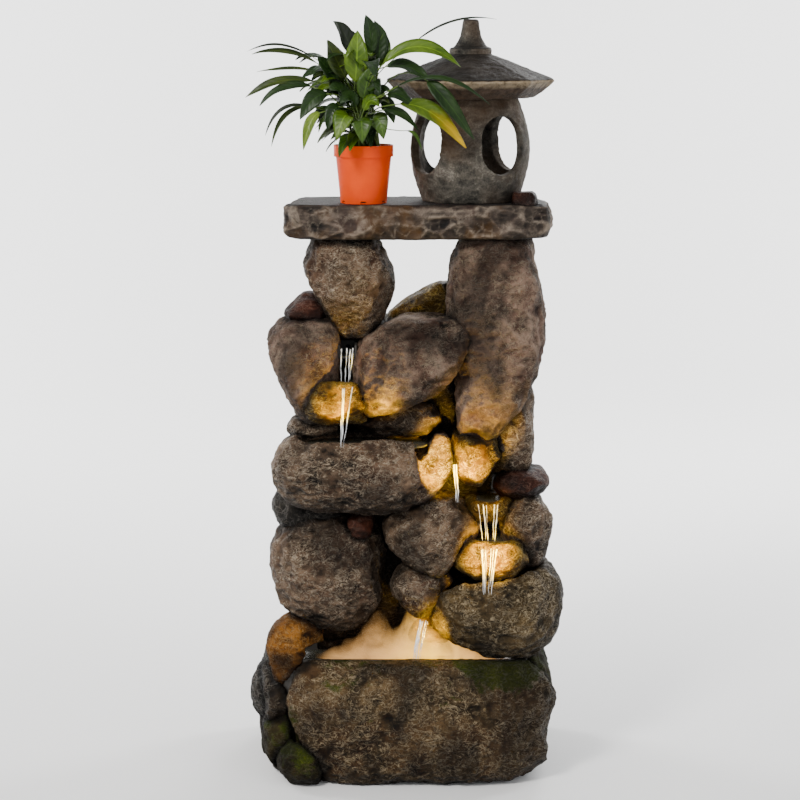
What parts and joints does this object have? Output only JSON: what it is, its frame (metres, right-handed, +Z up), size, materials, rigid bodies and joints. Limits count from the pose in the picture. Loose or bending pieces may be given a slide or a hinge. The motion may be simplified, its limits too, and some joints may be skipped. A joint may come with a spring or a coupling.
{
  "type": "cascade rock fountain",
  "caption": "Floor-standing cascade fountain of stacked cast rocks with hollow pump column, slab top, lift-off lantern and a potted plant.",
  "frame": {"origin": "centre of the middle foot's resting face, on the floor", "axes": "+Z up, -Y towards the viewer (the front with the cascade), +X to the viewer's right"},
  "size_m": [0.4867, 0.333, 1.158],
  "materials": {
    "rock": "rough painted cast stone",
    "rock_moss": "rough with moss",
    "rock_dark": "rough",
    "rock_orange": "rough with moss",
    "rock_red": "rough",
    "rock_tan": "rough wet",
    "rock_back": "rough painted cast stone",
    "slate": "layered rough",
    "lantern_stone": "speckled matt",
    "basin_resin": "matt",
    "cover_resin": "matt textured",
    "rubber": "matt",
    "pot_plastic": "satin",
    "soil": "crumbly peat",
    "foliage": "glossy leaf",
    "pump_plastic": "satin",
    "ceramic_white": "polished",
    "impeller_plastic": "satin",
    "hose_plastic": "satin",
    "led_lens": "clear warm",
    "mist_metal": "brushed",
    "brass": "polished"
  },
  "bodies": {
    "root": {"foot_pads": "rubber", "basin_shell": "basin_resin", "column_core": "rock_back", "rear_panel": "rock_back", "front_boulder": "rock", "base_corner_stone": "rock_moss", "base_moss_stone": "rock_moss", "base_dark_stone": "rock_dark", "base_orange_stone": "rock_orange", "base_right_stone": "rock_moss", "base_left_rear_stone": "rock_back", "base_right_rear_stone": "rock_back", "base_rear_stone": "rock_back", "lower_left_boulder": "rock", "lower_right_bowl": "rock", "centre_stone": "rock", "splash_stone": "rock_tan", "wedge_stone": "rock_dark", "small_stone": "rock", "middle_bowl": "rock", "mid_left_stone": "rock", "mid_right_stone": "rock", "mid_spill_stone": "rock_tan", "mid_ledge_stone": "rock_tan", "red_stone_right": "rock_red", "upper_left_stone": "rock", "upper_right_stone": "rock", "upper_spill_stone": "rock_tan", "ledge_stone_left": "rock", "ledge_stone_right": "rock", "red_stone_left": "rock_red", "left_pillar": "rock", "right_pillar": "rock", "pillar_foot": "rock", "pillar_rear": "rock_dark", "ridge_stone": "rock_tan", "slab": "slate", "slab_chip": "rock_red", "pump_housing": "pump_plastic", "pump_intake_cover": "pump_plastic", "pump_shaft": "ceramic_white", "pump_suction_cups": "rubber", "riser_hose": "hose_plastic", "water_spout": "basin_resin", "led_housings": "pump_plastic", "led_lenses": "led_lens", "mist_maker": "mist_metal", "mist_disc": "brass", "cable_gland": "pump_plastic", "gland_nut": "pump_plastic"},
    "lantern": {"lantern_house": "lantern_stone"},
    "lantern_roof_lid": {"lantern_roof": "lantern_stone"},
    "plant": {"plant_pot": "pot_plastic", "potting_soil": "soil", "plant_foliage": "foliage"},
    "rear_cover": {"access_cover": "cover_resin", "cover_pull": "cover_resin"},
    "impeller": {"pump_impeller": "impeller_plastic"},
    "flow_knob": {"pump_flow_knob": "pump_plastic"}
  },
  "joints": [
    {"name": "lantern_lift", "type": "slide", "parent": "root", "child": "lantern", "axis": [0, 0, 1], "range_m": [0, 0.06]},
    {"name": "lantern_roof_lift", "type": "slide", "parent": "lantern", "child": "lantern_roof_lid", "axis": [0, 0, 1], "range_m": [0, 0.08]},
    {"name": "plant_lift", "type": "slide", "parent": "root", "child": "plant", "axis": [0, 0, 1], "range_m": [0, 0.1]},
    {"name": "rear_cover_slide", "type": "slide", "parent": "root", "child": "rear_cover", "axis": [0, 1, 0], "range_m": [0, 0.12]},
    {"name": "impeller_spin", "type": "hinge", "parent": "root", "child": "impeller", "pos_m": [-0.08, 0.011, 0.043], "axis": [0, 1, 0], "continuous": true},
    {"name": "flow_knob_turn", "type": "hinge", "parent": "root", "child": "flow_knob", "pos_m": [-0.08, 0.005, 0.058], "axis": [0, -1, 0], "range_deg": [0, 90]}
  ]
}
